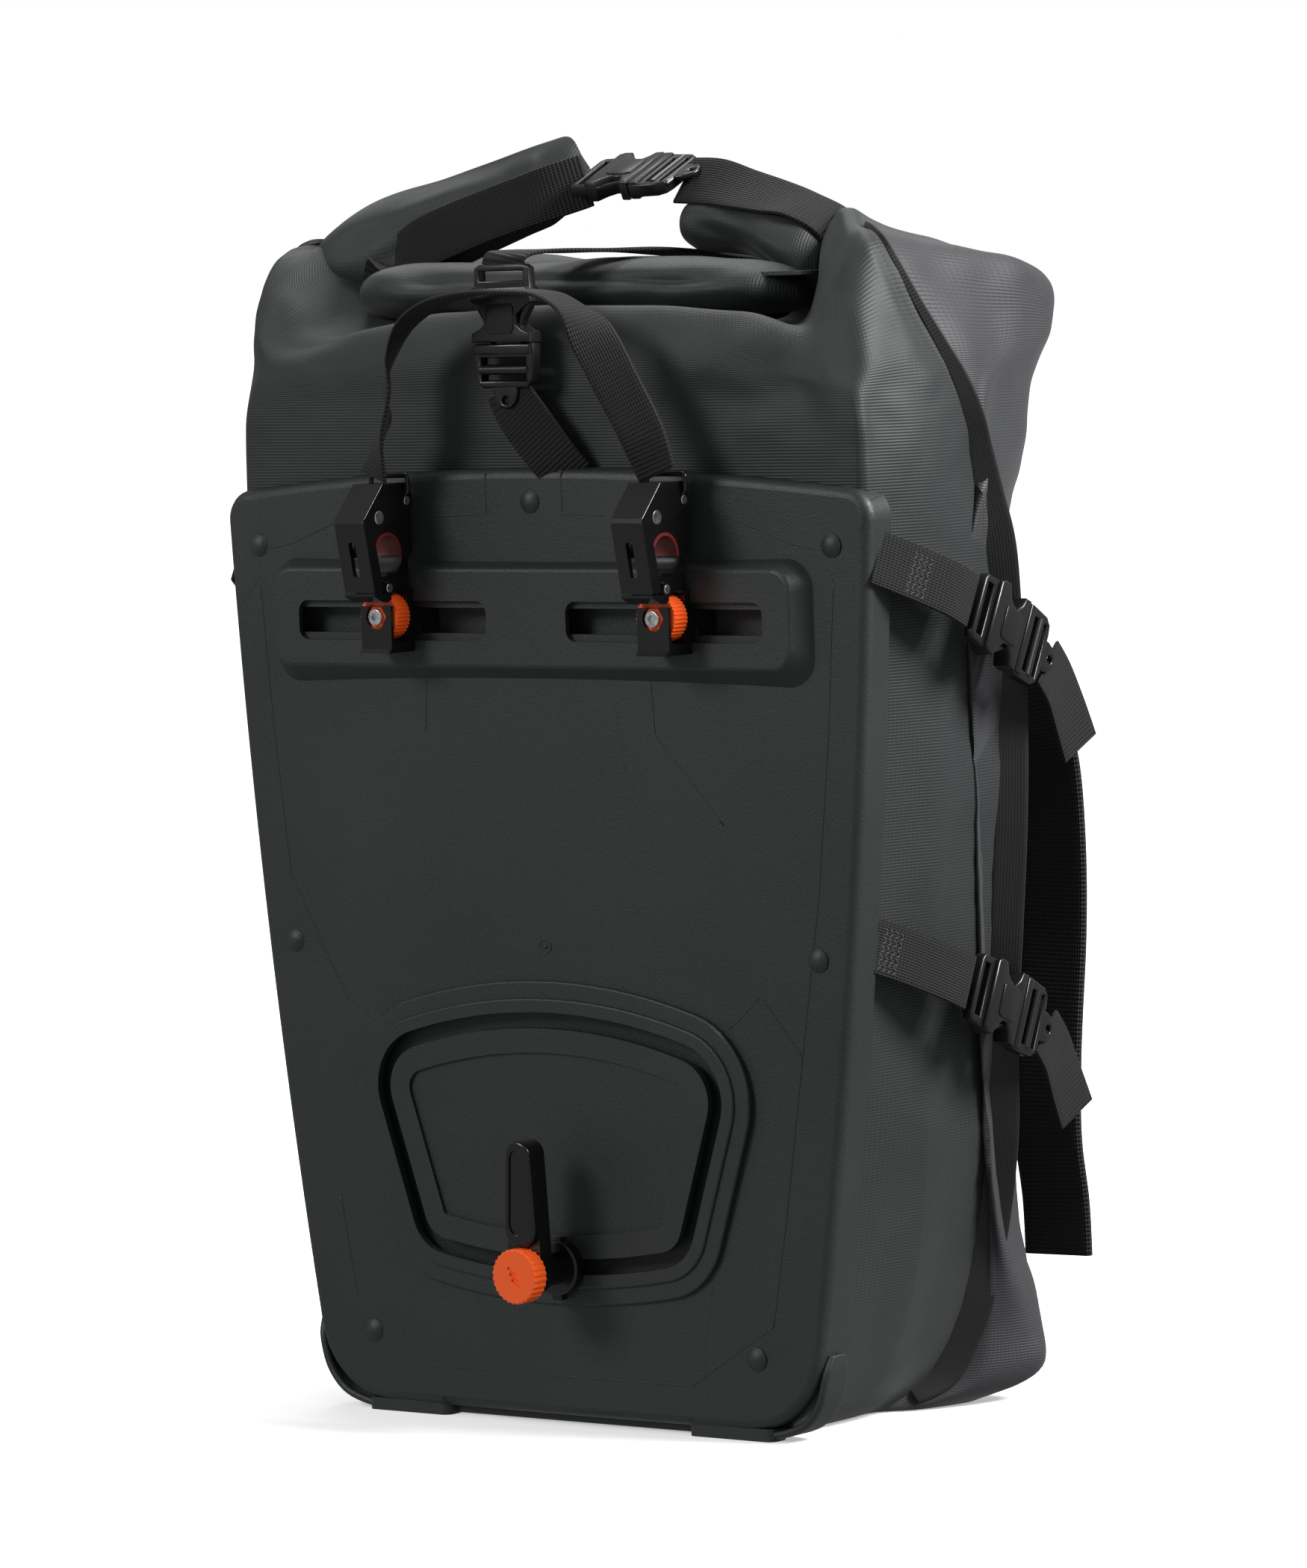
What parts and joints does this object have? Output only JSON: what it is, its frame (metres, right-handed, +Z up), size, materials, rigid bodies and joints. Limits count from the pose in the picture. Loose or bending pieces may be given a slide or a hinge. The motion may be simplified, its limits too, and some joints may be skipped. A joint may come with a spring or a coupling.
{
  "type": "pannier bag",
  "caption": "Roll-top bicycle pannier with a stiff back plate, sliding rack hooks, a lower anchor hook, side-release buckles and a webbing handle",
  "frame": {"origin": "centre of the base, on the ground between the plate's feet and the front panel, at half the body's depth", "axes": "+Z up, -Y towards the bicycle rack (plate and hooks), +X along the rack to the right as seen from the plate side"},
  "size_m": [0.389, 0.2299, 0.553],
  "materials": {
    "plate_plastic": "matte",
    "hook_plastic": "satin",
    "dial_orange": "satin",
    "insert_red": "matte",
    "steel": "satin",
    "buckle_plastic": "satin",
    "back_fabric": "matte",
    "front_fabric": "matte",
    "webbing": "matte",
    "batten_plastic": "matte"
  },
  "bodies": {
    "bag": {"back_plate": "plate_plastic", "bag_body": "back_fabric", "centre_buckle_socket": "buckle_plastic", "centre_strap_upper": "webbing", "front_panel": "front_fabric", "hook_rail": "plate_plastic", "left_ear": "back_fabric", "left_lower_buckle_socket": "buckle_plastic", "left_upper_buckle_socket": "buckle_plastic", "plate_rivets": "hook_plastic", "right_ear": "back_fabric", "right_lower_buckle_socket": "buckle_plastic", "right_upper_buckle_socket": "buckle_plastic", "rivet_washers": "steel", "roll_batten": "batten_plastic", "roll_top": "back_fabric", "seam_fins": "front_fabric", "shoulder_strap": "webbing", "side_straps": "webbing", "top_buckle_socket": "buckle_plastic"},
    "left_hook": {"left_hook_frame": "hook_plastic", "left_tube_insert": "insert_red", "left_hinge_pin": "steel", "left_latch_pin": "steel", "left_clamp_screw": "steel", "handle_left_half": "webbing"},
    "left_lever": {"left_lever": "hook_plastic", "left_strap_pin": "steel", "left_strap_ring": "steel"},
    "left_latch": {"left_latch": "hook_plastic"},
    "left_dial": {"left_clamp_dial": "dial_orange"},
    "right_hook": {"right_hook_frame": "hook_plastic", "right_tube_insert": "insert_red", "right_hinge_pin": "steel", "right_latch_pin": "steel", "right_clamp_screw": "steel", "handle_right_half": "webbing"},
    "right_lever": {"right_lever": "hook_plastic", "right_strap_pin": "steel", "right_strap_ring": "steel"},
    "right_latch": {"right_latch": "hook_plastic"},
    "right_dial": {"right_clamp_dial": "dial_orange"},
    "lower_hook": {"lower_hook_slider": "hook_plastic", "lower_hook_bolt": "steel"},
    "lower_arm": {"lower_hook_arm": "hook_plastic"},
    "lower_dial": {"lower_hook_dial": "dial_orange"},
    "top_prongs": {"top_buckle_prongs": "buckle_plastic", "top_strap_right": "webbing"},
    "centre_prongs": {"centre_buckle_prongs": "buckle_plastic", "centre_strap_lower": "webbing"},
    "right_upper_prongs": {"right_upper_buckle_prongs": "buckle_plastic", "right_upper_tail": "webbing"},
    "right_lower_prongs": {"right_lower_buckle_prongs": "buckle_plastic", "right_lower_tail": "webbing"},
    "left_upper_prongs": {"left_upper_buckle_prongs": "buckle_plastic", "left_upper_tail": "webbing"},
    "left_lower_prongs": {"left_lower_buckle_prongs": "buckle_plastic", "left_lower_tail": "webbing"}
  },
  "joints": [
    {"name": "left_hook_slide", "type": "slide", "parent": "bag", "child": "left_hook", "axis": [1, 0, 0], "range_m": [-0.0425, 0.034], "deforming": ["handle_left_half"]},
    {"name": "left_lever_swing", "type": "hinge", "parent": "left_hook", "child": "left_lever", "pos_m": [-0.069, -0.097, 0.4], "axis": [-1, 0, 0], "range_deg": [0, 40], "stiffness_Nm_per_rad": 0.15, "springref_deg": -11.46},
    {"name": "left_latch_swing", "type": "hinge", "parent": "left_hook", "child": "left_latch", "pos_m": [-0.069, -0.111, 0.3632], "axis": [1, 0, 0], "range_deg": [0, 14]},
    {"name": "left_dial_turn", "type": "hinge", "parent": "left_hook", "child": "left_dial", "pos_m": [-0.069, -0.104, 0.3506], "axis": [0, -1, 0], "range_deg": [0, 540]},
    {"name": "right_hook_slide", "type": "slide", "parent": "bag", "child": "right_hook", "axis": [1, 0, 0], "range_m": [-0.045, 0.0315], "deforming": ["handle_right_half"]},
    {"name": "right_lever_swing", "type": "hinge", "parent": "right_hook", "child": "right_lever", "pos_m": [0.08, -0.097, 0.4], "axis": [-1, 0, 0], "range_deg": [0, 40], "stiffness_Nm_per_rad": 0.15, "springref_deg": -11.46},
    {"name": "right_latch_swing", "type": "hinge", "parent": "right_hook", "child": "right_latch", "pos_m": [0.08, -0.111, 0.3632], "axis": [1, 0, 0], "range_deg": [0, 14]},
    {"name": "right_dial_turn", "type": "hinge", "parent": "right_hook", "child": "right_dial", "pos_m": [0.08, -0.104, 0.3506], "axis": [0, -1, 0], "range_deg": [0, 540]},
    {"name": "lower_hook_travel", "type": "hinge", "parent": "bag", "child": "lower_hook", "pos_m": [0, -0.09, 0.3835], "axis": [0, 1, 0], "range_deg": [-7.5, 9.2]},
    {"name": "lower_arm_swivel", "type": "hinge", "parent": "lower_hook", "child": "lower_arm", "pos_m": [0.005, -0.11, 0.07004], "axis": [0, -1, 0], "range_deg": [-90, 90]},
    {"name": "lower_dial_turn", "type": "hinge", "parent": "lower_hook", "child": "lower_dial", "pos_m": [0.005, -0.12, 0.07004], "axis": [0, -1, 0], "range_deg": [0, 540]},
    {"name": "top_buckle_release", "type": "slide", "parent": "bag", "child": "top_prongs", "axis": [1, 0, 0], "range_m": [0, 0.028], "deforming": ["top_strap_right"]},
    {"name": "centre_buckle_release", "type": "slide", "parent": "bag", "child": "centre_prongs", "axis": [0, 0, -1], "range_m": [0, 0.028], "deforming": ["centre_strap_lower"]},
    {"name": "right_upper_buckle_release", "type": "slide", "parent": "bag", "child": "right_upper_prongs", "axis": [0, 0.8829, -0.4695], "range_m": [0, 0.028], "deforming": ["right_upper_tail"]},
    {"name": "right_lower_buckle_release", "type": "slide", "parent": "bag", "child": "right_lower_prongs", "axis": [0, 0.9063, -0.4226], "range_m": [0, 0.028], "deforming": ["right_lower_tail"]},
    {"name": "left_upper_buckle_release", "type": "slide", "parent": "bag", "child": "left_upper_prongs", "axis": [0, 0.8829, -0.4695], "range_m": [0, 0.028], "deforming": ["left_upper_tail"]},
    {"name": "left_lower_buckle_release", "type": "slide", "parent": "bag", "child": "left_lower_prongs", "axis": [0, 0.9063, -0.4226], "range_m": [0, 0.028], "deforming": ["left_lower_tail"]}
  ],
  "couplings": [
    {"joint": "left_latch_swing", "follows": "left_lever_swing", "ratio": 0.34},
    {"joint": "right_latch_swing", "follows": "right_lever_swing", "ratio": 0.34}
  ]
}
